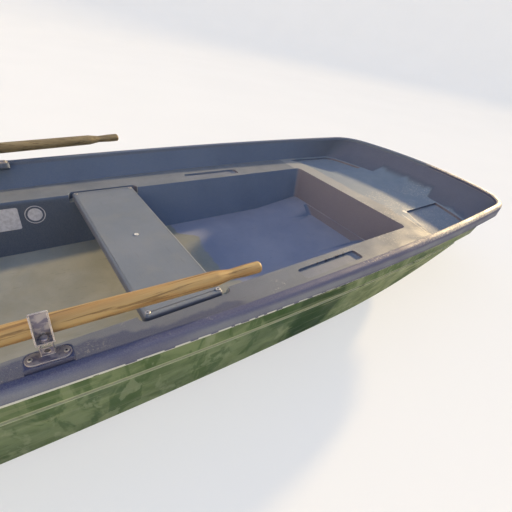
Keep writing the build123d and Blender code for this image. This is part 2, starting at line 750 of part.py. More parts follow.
def oar_blade():
    """Upright blade, thick along its middle and thin at its edges."""
    root = BLADE_LENGTH - OAR_OUTBOARD
    tip = -OAR_OUTBOARD
    half = BLADE_WIDTH / 2
    wide = tip + BLADE_WIDEST
    middle = (root + wide) / 2
    corner = tip + BLADE_CORNER_X
    plan = make_face([
        Line((root, -BLADE_NECK), (root, BLADE_NECK)),
        ThreePointArc((root, BLADE_NECK), (middle, BLADE_SHOULDER), (wide, half)),
        ThreePointArc((wide, half), (corner, BLADE_CORNER), (tip, BLADE_TIP)),
        Line((tip, BLADE_TIP), (tip, -BLADE_TIP)),
        ThreePointArc((tip, -BLADE_TIP), (corner, -BLADE_CORNER), (wide, -half)),
        ThreePointArc((wide, -half), (middle, -BLADE_SHOULDER), (root, -BLADE_NECK)),
    ])
    slab = extrude(Plane.XZ * plan, BLADE_THICK, both=True)
    edge = BLADE_EDGE / 2
    spine = BLADE_THICK / 2
    reach = half + OVERLAP
    section = make_face(Polyline(
        (edge, reach), (spine, 0), (edge, -reach), (-edge, -reach), (-spine, 0),
        (-edge, reach), close=True,
    ))
    start = Plane.YZ.offset(tip - OVERLAP)
    return slab & extrude(start * section, BLADE_LENGTH + 2 * OVERLAP)


def oar(side, toe):
    """One carved oar, bored for its bolt, as it lies with the blade aft."""
    solid = oar_shaft() + oar_blade()
    solid -= Rot(90, 0, 0) * Cylinder(BOLT_R + RUN_FIT, 3 * LOOM_R)
    beside = Pos(0, oar_offset(), 0) * Rot(0, -OAR_DROP_DEG, 0)
    return lock_place(side, toe, pivot_z()) * beside * solid


def transom_plane(z):
    """Plane on the transom's middle at a height, facing aft."""
    top_z = crest_z(-HALF_LENGTH) - FLANGE_DROP
    lean = math.atan2(STRAKE_LEAN, top_z - LAP_Z)
    x = STRAKE_STERN + (top_z - z) * math.tan(lean)
    return Plane(origin=(x, 0, z), x_dir=(0, -1, 0), z_dir=(-math.cos(lean), 0, -math.sin(lean)))


def outer_pad_plane():
    top = LIP_Z - HALF_LENGTH * math.tan(math.radians(LIP_DEG)) - BEAD_HEIGHT - PAD_DROP
    return transom_plane(top - PAD_HEIGHT / 2)


def motor_pad_outer():
    """Board on the transom for an outboard motor's clamps, fitted to the hull."""
    plan = RectangleRounded(PAD_WIDTH, PAD_HEIGHT, PAD_CORNER)
    board = extrude(outer_pad_plane().offset(PAD_OUTER_THICK) * plan, -2 * PAD_OUTER_THICK)
    return board - upper_strake(FIT) - lower_strake(FIT)


def inner_pad_plane():
    lean = math.atan2(STERN_RAKE, CREST_HEIGHT - CAP_HEIGHT)
    z = DECK_Z + FIT + PAD_INNER_HEIGHT / 2
    x = STERN_RAKE - HALF_LENGTH + RIM_WIDTH - (z - DECK_Z) * math.tan(lean)
    return Plane(origin=(x, 0, z), x_dir=(0, 1, 0), z_dir=(math.cos(lean), 0, math.sin(lean)))


def motor_pad_inner():
    """Board inside the stern bulwark, opposite the outer one."""
    plan = RectangleRounded(PAD_WIDTH, PAD_INNER_HEIGHT, PAD_CORNER / 2)
    board = extrude(inner_pad_plane().offset(PAD_INNER_THICK) * plan, -2 * PAD_INNER_THICK)
    return board & well(-FIT)


def drain_plug():
    """Screwed plug low in the transom."""
    lean = math.radians(TRANSOM_RAKE_DEG)
    x = STRAKE_STERN + STRAKE_LEAN - LAP_STEP + (LAP_Z - DRAIN_Z) * math.tan(lean)
    seat = Plane(
        origin=(x, 0, DRAIN_Z), x_dir=(0, 1, 0), z_dir=(-math.cos(lean), 0, -math.sin(lean)),
    ).offset(FIT)
    flange = extrude(seat * Circle(DRAIN_R), DRAIN_FLANGE)
    knob = extrude(seat.offset(DRAIN_FLANGE) * RegularPolygon(DRAIN_KNOB_R, 6), DRAIN_FLANGE)
    return flange + knob


def stem_plane():
    """Plane on the bow's middle, square to its raked face."""
    run = LAP_BOW_RAKE
    rise = crest_z(STRAKE_BOW) - FLANGE_DROP - LAP_Z
    x = STRAKE_BOW - run + (EYE_Z - LAP_Z) * run / rise
    lean = math.atan2(rise, run)
    return Plane(
        origin=(x, 0, EYE_Z), x_dir=(math.cos(lean), 0, math.sin(lean)),
        z_dir=(math.sin(lean), 0, -math.cos(lean)),
    ).offset(FIT)


def bow_eye():
    """Towing eye under the bow: a plate and a bored lug."""
    plate = extrude(SlotOverall(EYE_PLATE_LENGTH, EYE_PLATE_WIDTH), EYE_PLATE_THICK)
    outer = EYE_BORE_R + EYE_WALL
    lug = Pos(0, EYE_STAND) * Circle(outer)
    lug += Pos(0, EYE_STAND / 2) * Rectangle(2 * outer, EYE_STAND)
    lug -= Pos(0, EYE_STAND) * Circle(EYE_BORE_R)
    return stem_plane() * (plate + extrude(Plane.XZ * lug, EYE_THICK / 2, both=True))


def save(node, shape):
    shape.label = node
    export_step(shape, f"parts/{node}.step")


def main():
    os.makedirs("parts", exist_ok=True)
    save("hull_shell", hull_shell())
    save("inner_liner", inner_liner())
    save("seam_bead", seam_bead())
    save("thwart", thwart())
    save("thwart_screws", thwart_screws())
    save("thwart_plug", thwart_plug())
    save("motor_pad_outer", motor_pad_outer())
    save("motor_pad_inner", motor_pad_inner())
    save("drain_plug", drain_plug())
    save("bow_eye", bow_eye())
    toes = (OAR_TOE_PORT_DEG, OAR_TOE_STARBOARD_DEG)
    for (name, side), toe in zip(SIDES, toes):
        save(f"lock_boss_{name}", lock_boss(side))
        save(f"lock_plate_{name}", lock_plate(side))
        save(f"lock_screws_{name}", plate_screws(side))
        save(f"lock_yoke_{name}", lock_yoke(side, toe))
        save(f"oar_bolt_{name}", oar_bolt(side, toe))
        save(f"oar_{name}", oar(side, toe))


main()
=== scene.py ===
import json
import math
from typing import NamedTuple

import bmesh
import bpy
from mathutils import Matrix, Vector

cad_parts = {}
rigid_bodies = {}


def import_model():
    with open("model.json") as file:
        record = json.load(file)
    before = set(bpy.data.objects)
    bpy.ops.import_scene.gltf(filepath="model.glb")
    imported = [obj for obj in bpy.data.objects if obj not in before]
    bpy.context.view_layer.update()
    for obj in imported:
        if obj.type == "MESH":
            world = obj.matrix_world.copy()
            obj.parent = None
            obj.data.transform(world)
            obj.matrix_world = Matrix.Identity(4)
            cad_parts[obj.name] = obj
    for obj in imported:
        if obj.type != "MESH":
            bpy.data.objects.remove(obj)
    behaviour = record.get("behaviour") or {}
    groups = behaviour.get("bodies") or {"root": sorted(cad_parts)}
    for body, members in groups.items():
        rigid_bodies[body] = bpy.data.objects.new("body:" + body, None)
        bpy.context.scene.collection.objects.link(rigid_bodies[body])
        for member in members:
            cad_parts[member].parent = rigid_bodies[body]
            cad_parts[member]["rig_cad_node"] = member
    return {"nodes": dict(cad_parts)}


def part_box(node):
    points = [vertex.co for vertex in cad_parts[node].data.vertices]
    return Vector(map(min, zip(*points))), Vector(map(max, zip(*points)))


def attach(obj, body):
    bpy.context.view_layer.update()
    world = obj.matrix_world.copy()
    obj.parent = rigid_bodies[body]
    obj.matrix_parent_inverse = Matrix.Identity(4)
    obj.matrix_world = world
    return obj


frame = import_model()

nodes = frame["nodes"]
for o in list(bpy.context.scene.objects):
    if o.type != "EMPTY" and "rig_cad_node" not in o:
        bpy.data.objects.remove(o)
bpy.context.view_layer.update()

X, Y, Z = range(3)
SIDES = {"port": 1, "starboard": -1}

# Places on the boat that the finishes follow, in metres
DECK_TOP = 0.345
FLOOR_TOP = 0.105
CREST_TOP = 0.471
CREST_RISE = math.tan(math.radians(0.62))
LIP_TOP = 0.4275
LIP_RISE = math.tan(math.radians(-0.1))
WALL_TOP = 0.466
WALL_FOOT = 0.404

# How each oar lies, in degrees
TOES = {"port": 9.5, "starboard": -3.2}
DROP = 0.2

# Outward faces: the dot product of normal and place, where they start and are full
OUTWARD = (0.02, 0.12)

# Worn edges: the same of normal and softened normal, their reach in metres, and samples
EDGE_TURN = (0.999, 0.93)
MOULDING_EDGE = 0.005
WOOD_EDGE = 0.004
METAL_EDGE = 0.0024
PLAIN_EDGE = 0.002
EDGE_SAMPLES = 4


# Node building

class Mottle(NamedTuple):
    """Noise, laid out by stretch, turn and shift, and what it becomes.

    It turns into the first of its values where it is low, and into the second where it is high.
    """
    scale: float
    low: float = 0.3
    high: float = 0.7
    detail: float = 3.0
    rough: float = 0.55
    warp: float = 0.0
    stretch: tuple = (1, 1, 1)
    turn: tuple = (0, 0, 0)
    shift: tuple = (0, 0, 0)
    values: tuple = (0.0, 1.0)


class Tree:
    """A material's node tree, built from its inputs towards the surface."""

    def __init__(self, name):
        self.material = bpy.data.materials.new(name)
        self.material.use_nodes = True
        self.tree = self.material.node_tree
        self.tree.nodes.clear()
        self.coord = self.add("ShaderNodeTexCoord").outputs["Object"]

    def add(self, kind, values=None, **settings):
        node = self.tree.nodes.new(kind)
        for key, value in settings.items():
            setattr(node, key, value)
        for key, value in (values or {}).items():
            if isinstance(value, bpy.types.NodeSocket):
                self.tree.links.new(value, node.inputs[key])
            else:
                node.inputs[key].default_value = value
        return node

    def noise(self, mottle):
        """The mottle's bare noise."""
        layout = {
            "Vector": self.coord, "Scale": mottle.stretch,
            "Rotation": mottle.turn, "Location": mottle.shift,
        }
        values = {
            "Vector": self.add("ShaderNodeMapping", layout).outputs[0], "Scale": mottle.scale,
            "Detail": mottle.detail, "Roughness": mottle.rough, "Distortion": mottle.warp,
        }
        return self.add("ShaderNodeTexNoise", values).outputs["Fac"]

    def ramp(self, noise, mottle):
        """The mottle's values for a noise that was changed on its way."""
        return self.fade(noise, mottle.low, mottle.high, *mottle.values)

    def mottle(self, mottle):
        return self.ramp(self.noise(mottle), mottle)

    def wave(self, mottle, width):
        """The mottle's bare noise, scaled to a width."""
        return self.times(self.noise(mottle), width)

    def cells(self, scale):
        """Distance to the nearest of many scattered points."""
        values = {"Vector": self.coord, "Scale": scale}
        return self.add("ShaderNodeTexVoronoi", values).outputs["Distance"]

    def fade(self, value, start, full, to_low=0.0, to_high=1.0):
        """Smooth step from to_low at the start to to_high where it is full."""
        values = {0: value, 1: start, 2: full, 3: to_low, 4: to_high}
        return self.add("ShaderNodeMapRange", values, interpolation_type="SMOOTHSTEP").outputs[0]

    def maths(self, operation, a, b=0.0):
        return self.add("ShaderNodeMath", {0: a, 1: b}, operation=operation).outputs[0]

    def plus(self, a, b):
        return self.maths("ADD", a, b)

    def minus(self, a, b):
        return self.maths("SUBTRACT", a, b)

    def times(self, *values):
        """Product of several values."""
        product = values[0]
        for value in values[1:]:
            product = self.maths("MULTIPLY", product, value)
        return product

    def band(self, value, middle, half, soft):
        """1 near a middle value, 0 away from it."""
        off = self.maths("ABSOLUTE", self.minus(value, middle))
        return self.fade(off, half + soft, half)

    def mix(self, amount, a, b):
        node = self.add("ShaderNodeMix", {0: amount, 6: a, 7: b}, data_type="RGBA")
        return node.outputs[2]

    def cloudy(self, mottle, one, other):
        """One paint that clouds into another."""
        return self.mix(self.mottle(mottle), PAINT[one], PAINT[other])

    def over(self, color, paint, *masks, amount=1.0):
        """A paint laid over a colour where every mask is 1."""
        return self.mix(self.times(*masks, amount), color, PAINT[paint])

    def part(self, axis):
        return self.add("ShaderNodeSeparateXYZ", {0: self.coord}).outputs[axis]

    def normal(self):
        return self.add("ShaderNodeNewGeometry").outputs["Normal"]

    def facing(self, axis):
        return self.add("ShaderNodeSeparateXYZ", {0: self.normal()}).outputs[axis]

    def outward(self):
        """1 on faces that look away from the boat's middle, 0 on those that look in."""
        away = self.add("ShaderNodeVectorMath", {0: self.coord, 1: (1, 1, 0)}, operation="MULTIPLY")
        facing = self.add(
            "ShaderNodeVectorMath", {0: self.normal(), 1: away.outputs[0]}, operation="DOT_PRODUCT",
        )
        return self.fade(facing.outputs["Value"], *OUTWARD)

    def edges(self, radius):
        """1 near edges, 0 on flat faces."""
        soft = self.add("ShaderNodeBevel", {"Radius": radius}, samples=EDGE_SAMPLES).outputs[0]
        turn = self.add("ShaderNodeVectorMath", {0: soft, 1: self.normal()}, operation="DOT_PRODUCT")
        return self.fade(turn.outputs["Value"], *EDGE_TURN)

    def bump(self, height, strength, depth, under=None):
        values = {"Height": height, "Strength": strength, "Distance": depth}
        if under:
            values["Normal"] = under
        return self.add("ShaderNodeBump", values).outputs[0]

    def relief(self, layers):
        """Bumps from noises, each with its strength and its depth in metres, the lowest first."""
        normal = None
        for mottle, strength, depth in layers:
            normal = self.bump(self.noise(mottle), strength, depth, normal)
        return normal

    def finish(self, color, rough, normal, metallic=0.0, specular=0.5):
        values = {
            "Base Color": color, "Roughness": rough, "Metallic": metallic,
            "Specular IOR Level": specular, "Normal": normal,
        }
        return self.surface(self.add("ShaderNodeBsdfPrincipled", values).outputs[0])

    def surface(self, shader):
        out = self.add("ShaderNodeOutputMaterial")
        self.tree.links.new(shader, out.inputs[0])
        return self.material


def linear(screen):
    """Linear colour from the 0 to 255 values of a screen."""
    out = []
    for value in screen:
        share = value / 255
        out.append(share / 12.92 if share <= 0.04045 else ((share + 0.055) / 1.055) ** 2.4)
    return (*out, 1.0)


# Paints, as a screen shows them in plain light
PAINT = {name: linear(screen) for name, screen in {
    # Wall tones: blue-grey, painted darker and bluer than the floor and decks, as shade and sky reflection
    "wall": (84, 102, 130),
    "wall_light": (92, 110, 138),
    # Painted shade on the walls: towards the bow, on faces that look aft, and low aft of the thwart
    "wall_bow_shade": (70, 78, 92),
    "wall_aft_facing_shade": (110, 108, 122),
    "wall_aft_shade": (66, 73, 84),
    # Floor tones: clean and bluish forward as painted shade, dusty and warm aft as dust and painted
    # sunlight
    "floor_clean_shaded": (122, 128, 146),
    "floor_clean_shaded_lighter": (132, 137, 153),
    "floor_dust_and_sunlight": (128, 131, 124),
    "floor_dust_and_sunlight_lighter": (140, 141, 131),
    "deck": (104, 111, 118),
    "deck_light": (115, 121, 127),
    # Painted sunlight on the foredeck strip beside the cockpit's bow end
    "deck_strip_sunlit": (148, 150, 148),
    # Painted shade on the foredeck forward of the strip
    "deck_bow_shade": (114, 128, 140),
    # Painted shadow of the oar on the near deck
    "deck_oar_shadow": (92, 96, 106),
    "deck_dark_zone": (66, 72, 96),
    # Painted highlights on the sunlit step at the near pocket's aft edge
    "pocket_line_highlight": (196, 192, 176),
    "pocket_corner_highlight": (226, 220, 204),
    # Painted shade on the crest and the outward roll, with a painted reflection along the roll's middle
    "crest_far_shade": (92, 105, 126),
    "crest_near_shade": (70, 75, 104),
    "roll_shade": (82, 86, 112),
    "roll_middle_reflection": (126, 134, 142),
    "lip": (206, 212, 204),
    "liner_fine": (150, 154, 158),
    "liner_speck": (200, 194, 176),
    # Painted highlight on the near crest at the bow
    "crest_sun_highlight": (228, 216, 188),
    "floor_stain": (118, 116, 98),
    # Painted shade in ticks along the near tray's inboard edge
    "tray_edge_shade": (52, 54, 62),
    "liner_scratch": (86, 88, 92),
    # Liner edges: rubbed wear and a painted highlight
    "liner_edge_wear_and_highlight": (160, 160, 156),
    "green": (84, 104, 68),
    "green_light": (114, 132, 94),
    "green_blotch": (60, 88, 46),
    "green_pale": (134, 148, 116),
    "green_deep": (40, 74, 30),
    "green_patch": (20, 58, 14),
    "hull_streak": (142, 150, 120),
    # Painted highlight on the lap's upper edge
    "lap_highlight": (182, 188, 162),
    "hull_edge": (176, 182, 156),
    "hull_scuff": (120, 116, 100),
    "bead_dark": (66, 76, 70),
    "bead": (206, 210, 200),
    "bead_dirt": (140, 146, 120),
    "thwart": (106, 114, 122),
    "thwart_light": (114, 121, 129),
    "thwart_fine": (134, 140, 144),
    # Painted shade on the thwart's sides
    "thwart_side_shade": (84, 90, 112),
    "thwart_dust": (130, 130, 122),
    # Thwart edges: rubbed wear and a painted highlight
    "thwart_edge_wear_and_highlight": (184, 188, 188),
    "thwart_line": (96, 102, 108),
    "knot": (98, 70, 40),
    "ply": (150, 112, 72),
    "ply_dark": (112, 78, 46),
    "ply_worn": (168, 140, 104),
    # Oar tones: the starboard oar's are its sunlit look, the port oar's are the same wood painted darker as
    # shade
    "oar_port": (134, 122, 92),
    "oar_port_dark": (112, 100, 74),
    "oar_port_worn": (128, 121, 100),
    "oar_starboard": (174, 148, 98),
    "oar_starboard_dark": (146, 114, 70),
    "oar_starboard_worn": (162, 150, 116),
    "metal_bloom": (172, 158, 138),
    "metal_rust": (120, 84, 56),
    # Painted highlight on metal edges
    "metal_edge_highlight": (246, 238, 220),
    "steel": (176, 174, 170),
    "steel_dark": (150, 148, 146),
    "galvanized": (170, 166, 168),
    "galvanized_dark": (120, 118, 136),
    "plug": (205, 206, 204),
    "plug_worn": (170, 170, 164),
    "black": (36, 37, 38),
    "black_worn": (70, 70, 70),
    "badge": (196, 198, 204),
    "badge_worn": (172, 174, 180),
    # Painted shade for the screw sockets
    "socket_shade": (30, 28, 30),
    "socket_shade_worn": (48, 44, 44),
}.items()}


# Liner. Pairs say where a finish starts and is full, in metres, or in parts of the normal for faces.
# Two more numbers are its values there, if they aren't 0 and 1.
# Triples say its middle, half width and soft edge.

UP_FACES = (0.9, 0.98)
AFT_FACES = (-0.3, -0.8)
HIGH_Z = (DECK_TOP - 0.03, DECK_TOP - 0.002)
CREST_Z = (CREST_TOP - 0.022, CREST_TOP - 0.018)
NEAR_Y = (0.0, -0.1)
BOW_SHADE_X = (1.0, 1.9)
AFT_SHADE_X = (-0.2, -0.5)
AFT_SHADE_Z = (DECK_TOP, DECK_TOP - 0.02)
DUST_AND_SUNLIGHT_X = (0.23, 0.21)
DUST_AND_SUNLIGHT_FAR_Y = (0.22, 0.32)
DUST_AND_SUNLIGHT_FAR_SHIFT = 0.1
SUNLIT_STRIP_X = (1.17, 0.07, 0.02)
SUNLIT_STRIP_Y = (-0.35, 0.0)
BOW_DECK_SHADE_X = (1.27, 1.31)
OAR_SHADOW_X = (0.3, -0.2)
DARK_ZONE_X = (-0.06, -0.1)
DARK_ZONE_Y = (-0.495, -0.51)
DARK_ZONE_SLOPE = 0.13
POCKET_LINES = ((0.302, 1.3676), (0.5206, 1.507))
POCKET_LINE = (0.003, 0.002)
POCKET_LINE_Y = (-0.455, 0.095, 0.01)
POCKET_CORNER_X = (1.320, 0.010, 0.005)
POCKET_CORNER_Y = (-0.336, 0.012, 0.005)
ROLL_Z = (0.40, 0.41)
ROLL_FACES = (0.99, 0.85)
ROLL_REFLECTION_Z = (0.444, 0.006, 0.016)
DASH_AFT_X = (-0.62, -0.5, 0.2, 0.0)
DASH_END_X = (0.35, -0.1)
LIP_SOFT = 0.0006
CREST_HIGHLIGHT_FACES = (0.2, 0.6)
CREST_HIGHLIGHT_X = (0.5, 1.3)
SPECK_X = (-0.1, 1.5)
SPECK_GAIN = 0.22
STAIN_Z = (FLOOR_TOP + 0.07, FLOOR_TOP)
TRAY_SHADE_X = (0.453, 0.092, 0.01)
TRAY_SHADE_Y = (-0.500, 0.004, 0.003)

WALL_CLOUD = Mottle(2.2, 0.35, 0.7, detail=4)
FLOOR_CLOUD = Mottle(3.0, 0.35, 0.7)
DUST_CLOUD = Mottle(6, 0.35, 0.7, detail=5, rough=0.62)
DUST_AND_SUNLIGHT_WAVE = (Mottle(7), 0.09)
BOW_DECK_SHADE_WAVE = (Mottle(6), 0.1)
DARK_ZONE_WAVE = Mottle(6, detail=4)
ROLL_CLOUD = Mottle(4, 0.2, 0.6, detail=2)
LIP_DASH = Mottle(1.0, 0.46, 0.48, detail=0, rough=0.5, stretch=(30, 0.01, 0.01))
LINER_FINE = Mottle(420, 0.42, 0.62, detail=2)
SPECK = Mottle(120, 0.55, 0.63, detail=2, rough=0.7)
SPECK_PATCH = Mottle(4.5, 0.56, 0.72, rough=0.6, warp=0.6)
CREST_HIGHLIGHT_GLINTS = Mottle(120, 0.40, 0.58, detail=2, rough=0.7, values=(0.25, 0.95))
STAIN = Mottle(3.4, 0.44, 0.68, detail=6, rough=0.6, warp=0.7)
TICKS = Mottle(95, 0.5, 0.56, detail=2, rough=0.6, stretch=(1, 0.3, 0.3))
SCRATCH = Mottle(3.2, 0.64, 0.69, 4, 0.5, 0.4, stretch=(9, 60, 60), turn=(0, 0, 0.5))
LINER_EDGE = Mottle(38, 0.35, 0.6)
LINER_ROUGH = Mottle(11, detail=4, values=(0.55, 0.75))
LINER_RELIEF = ((LINER_FINE, 0.4, 0.0012), (Mottle(5, detail=2), 0.35, 0.006))


def liner_walls(t, high):
    """Blue-grey walls in painted shade, darker and bluer than the tops; more painted shade at the bow and
    low aft of the thwart, and a violet-grey painted shade tone on faces that look aft.
    """
    color = t.cloudy(WALL_CLOUD, "wall", "wall_light")
    # Painted shade at the bow end of the walls, then a violet-grey painted shade tone on faces that look
    # aft
    color = t.over(color, "wall_bow_shade", t.fade(t.part(X), *BOW_SHADE_X), high)
    color = t.over(color, "wall_aft_facing_shade", t.fade(t.facing(X), *AFT_FACES))
    # Painted shade on the low walls aft of the thwart
    return t.over(color, "wall_aft_shade", t.fade(t.part(X), *AFT_SHADE_X), t.fade(t.part(Z), *AFT_SHADE_Z), amount=0.75)


def dust_and_sunlight_floor(t):
    """1 aft of a wavy line on the floor, where the warm tone is dust and painted sunlight; the line follows
    the edge of the bow's shade.
    """
    shift = t.times(t.fade(t.part(Y), *DUST_AND_SUNLIGHT_FAR_Y), DUST_AND_SUNLIGHT_FAR_SHIFT)
    edge = t.plus(t.wave(*DUST_AND_SUNLIGHT_WAVE), shift)
    return t.fade(t.plus(t.part(X), edge), *DUST_AND_SUNLIGHT_X)


def liner_tops(t, high, near, dust_and_sunlight):
    """Faces that look up: floor, side decks and foredeck."""
    # Floor: bluish painted shade forward, dust and painted sunlight aft of the wavy line
    clean_shaded_floor = t.cloudy(FLOOR_CLOUD, "floor_clean_shaded", "floor_clean_shaded_lighter")
    dust_and_sunlight_tone = t.cloudy(DUST_CLOUD, "floor_dust_and_sunlight", "floor_dust_and_sunlight_lighter")
    decks = t.cloudy(DUST_CLOUD, "deck", "deck_light")
    color = t.mix(high, t.mix(dust_and_sunlight, clean_shaded_floor, dust_and_sunlight_tone), decks)
    # Painted sunlight on the foredeck strip beside the cockpit's bow end
    strip = t.band(t.part(X), *SUNLIT_STRIP_X)
    color = t.over(color, "deck_strip_sunlit", strip, high, t.fade(t.part(Y), *SUNLIT_STRIP_Y), amount=0.8)
    # Painted shade on the foredeck forward of the strip, in the bow's shade
    bow = t.fade(t.plus(t.part(X), t.wave(*BOW_DECK_SHADE_WAVE)), *BOW_DECK_SHADE_X)
    color = t.over(color, "deck_bow_shade", bow, high)
    # Painted shadow of the oar on the near deck aft
    oar_shadow = t.fade(t.part(X), *OAR_SHADOW_X)
    color = t.over(color, "deck_oar_shadow", near, high, oar_shadow, amount=0.6)
    return pocket_highlights(t, near_deck_dark_zone(t, color, high), high)


def near_deck_dark_zone(t, color, high):
    """Dark wavy zone on the near side deck, beside the rim."""
    wave = t.times(t.plus(t.part(X), t.noise(DARK_ZONE_WAVE)), DARK_ZONE_SLOPE)
    beyond = t.fade(t.plus(t.part(Y), wave), *DARK_ZONE_Y)
    return t.over(color, "deck_dark_zone", beyond, t.fade(t.part(X), *DARK_ZONE_X), high, amount=0.85)


def pocket_highlights(t, color, high):
    """Painted highlights: sunlit lines and a sunlit corner at the near pocket's aft edge."""
    along = t.band(t.part(Y), *POCKET_LINE_Y)
    for slope, middle in POCKET_LINES:
        across = t.minus(t.part(X), t.times(t.part(Y), slope))
        color = t.over(color, "pocket_line_highlight", t.band(across, middle, *POCKET_LINE), along, high, amount=0.55)
    corner = t.times(t.band(t.part(X), *POCKET_CORNER_X), t.band(t.part(Y), *POCKET_CORNER_Y))
    return t.over(color, "pocket_corner_highlight", corner, high, amount=0.8)


def liner_rim(t, color, crest, near):
    """Crest and roll in painted shade, with a painted reflection as a lighter band along the roll's middle,
    over a lip that shows in pale dashes.
    """
    # Painted shade on the crest
    color = t.mix(crest, color, t.mix(near, PAINT["crest_far_shade"], PAINT["crest_near_shade"]))
    outward = t.outward()
    roll_shade = t.times(outward, t.fade(t.part(Z), *ROLL_Z), t.fade(t.facing(Z), *ROLL_FACES))
    middle = t.times(t.band(t.part(Z), *ROLL_REFLECTION_Z), t.mottle(ROLL_CLOUD))
    # Painted shade on the outward roll, with a painted reflection as a lighter band along its middle
    color = t.mix(roll_shade, color, t.over(PAINT["roll_shade"], "roll_middle_reflection", middle, amount=0.65))
    unbroken = t.fade(t.part(X), *DASH_AFT_X)
    dashes = t.ramp(t.plus(t.noise(LIP_DASH), unbroken), LIP_DASH)
    height = t.minus(t.part(Z), t.times(t.part(X), LIP_RISE))
    lip = t.times(outward, t.fade(height, LIP_TOP, LIP_TOP - LIP_SOFT))
    return t.over(color, "lip", lip, dashes, t.fade(t.part(X), *DASH_END_X), amount=0.9)


def liner_specks(t, color, up, high, crest, near):
    """Fine speckle all over, pale specks on the near deck, and a painted highlight on the near crest's
    sloping faces at the bow, broken into glints.
    """
    color = t.over(color, "liner_fine", t.mottle(LINER_FINE), amount=0.14)
    more = t.times(t.fade(t.part(X), *SPECK_X), SPECK_GAIN)
    patch = t.ramp(t.plus(t.noise(SPECK_PATCH), more), SPECK_PATCH)
    color = t.over(color, "liner_speck", t.mottle(SPECK), patch, up, high, near, amount=0.5)
    # Painted highlight, broken into glints, on the near crest's sloping faces at the bow
    pale = t.times(crest, near, t.fade(t.facing(Z), *CREST_HIGHLIGHT_FACES), t.fade(t.part(X), *CREST_HIGHLIGHT_X))
    return t.over(color, "crest_sun_highlight", pale, t.mottle(CREST_HIGHLIGHT_GLINTS))


def liner_wear(t, color, up, high, dust_and_sunlight):
    """Stains on the floor, dark ticks of painted shade along the near tray's inboard edge, scratches, and
    edges lightened as rubbed wear and as a painted highlight.
    """
    low = t.fade(t.part(Z), *STAIN_Z)
    color = t.over(color, "floor_stain", t.mottle(STAIN), low, up, dust_and_sunlight, amount=0.35)
    # Painted shade in dark ticks along the near tray's inboard edge
    by_tray = t.times(t.band(t.part(Y), *TRAY_SHADE_Y), t.band(t.part(X), *TRAY_SHADE_X))
    color = t.over(color, "tray_edge_shade", by_tray, t.mottle(TICKS), high, amount=0.75)
    color = t.over(color, "liner_scratch", t.mottle(SCRATCH), up, amount=0.3)
    # Edges lightened as rubbed wear and as a painted highlight
    return t.over(color, "liner_edge_wear_and_highlight", t.edges(MOULDING_EDGE), t.mottle(LINER_EDGE), amount=0.28)


def liner_material():
    """Blue-grey moulding: walls in painted shade, a floor with painted shade forward and dust with painted
    sunlight aft, grey decks with painted sunlight and shade, a rim in painted shade with a painted
    reflection, and a speckled bow with a painted highlight.
    """
    t = Tree("liner")
    up = t.fade(t.facing(Z), *UP_FACES)
    high = t.fade(t.part(Z), *HIGH_Z)
    crest = t.fade(t.minus(t.part(Z), t.times(t.part(X), CREST_RISE)), *CREST_Z)
    near = t.fade(t.part(Y), *NEAR_Y)
    dust_and_sunlight = dust_and_sunlight_floor(t)
    # Walls take their painted shade tones, faces that look up take the floor and deck tones
    color = t.mix(up, liner_walls(t, high), liner_tops(t, high, near, dust_and_sunlight))
    color = liner_rim(t, color, crest, near)
    color = liner_specks(t, color, up, high, crest, near)
    color = liner_wear(t, color, up, high, dust_and_sunlight)
    return t.finish(color, t.mottle(LINER_ROUGH), t.relief(LINER_RELIEF), specular=0.25)


# Hull

PATCH_X = (0.21, 0.11, 0.02)
PATCH_Y = (-0.3, -0.4)
STREAK_X = (-0.2, 1.0, 0.25, 0.7)
LAP_HIGHLIGHT_Z = (0.325, 0.003, 0.002)
SCUFF_Z = (0.06, 0.0)

HULL_CLOUD = Mottle(7, 0.36, 0.66, 5, 0.62, 0.3, stretch=(1, 1, 1.6))
HULL_BLOTCH = Mottle(9, 0.50, 0.60, 4, 0.6, 0.5, stretch=(1.5, 1.5, 0.4))
HULL_PALE = Mottle(16, 0.54, 0.62, 4, 0.6, 0.3, stretch=(1, 1, 0.35), shift=(2, 5, 0))
HULL_DEEP = Mottle(2.6, 0.60, 0.63, 2, 0.45, 0.7, shift=(3.1, 0.4, 0))
HULL_PATCH = Mottle(7, 0.32, 0.38, 2, 0.5, 0.9)
HULL_STREAK = Mottle(9, 0.56, 0.62, 4, 0.6, 0.4, stretch=(0.18, 0.18, 4.2))
LAP_BREAKS = Mottle(12, 0.25, 0.4)
HULL_EDGE = Mottle(30, 0.4, 0.6)
HULL_SCUFF = Mottle(26, 0.42, 0.62, detail=5, rough=0.7)
HULL_ROUGH = Mottle(8, detail=4, values=(0.5, 0.7))
HULL_RELIEF = ((Mottle(300, detail=2), 0.3, 0.001), (Mottle(7), 0.4, 0.008))


def hull_greens(t):
    """Mottled greens with upright blotches and one dark patch on the near side."""
    color = t.cloudy(HULL_CLOUD, "green", "green_light")
    color = t.over(color, "green_blotch", t.mottle(HULL_BLOTCH), amount=0.75)
    color = t.over(color, "green_pale", t.mottle(HULL_PALE), amount=0.6)
    color = t.over(color, "green_deep", t.mottle(HULL_DEEP), amount=0.8)
    near = t.fade(t.part(Y), *PATCH_Y)
    patch = t.times(t.band(t.part(X), *PATCH_X), t.mottle(HULL_PATCH), near)
    return t.over(color, "green_patch", patch, amount=0.95)


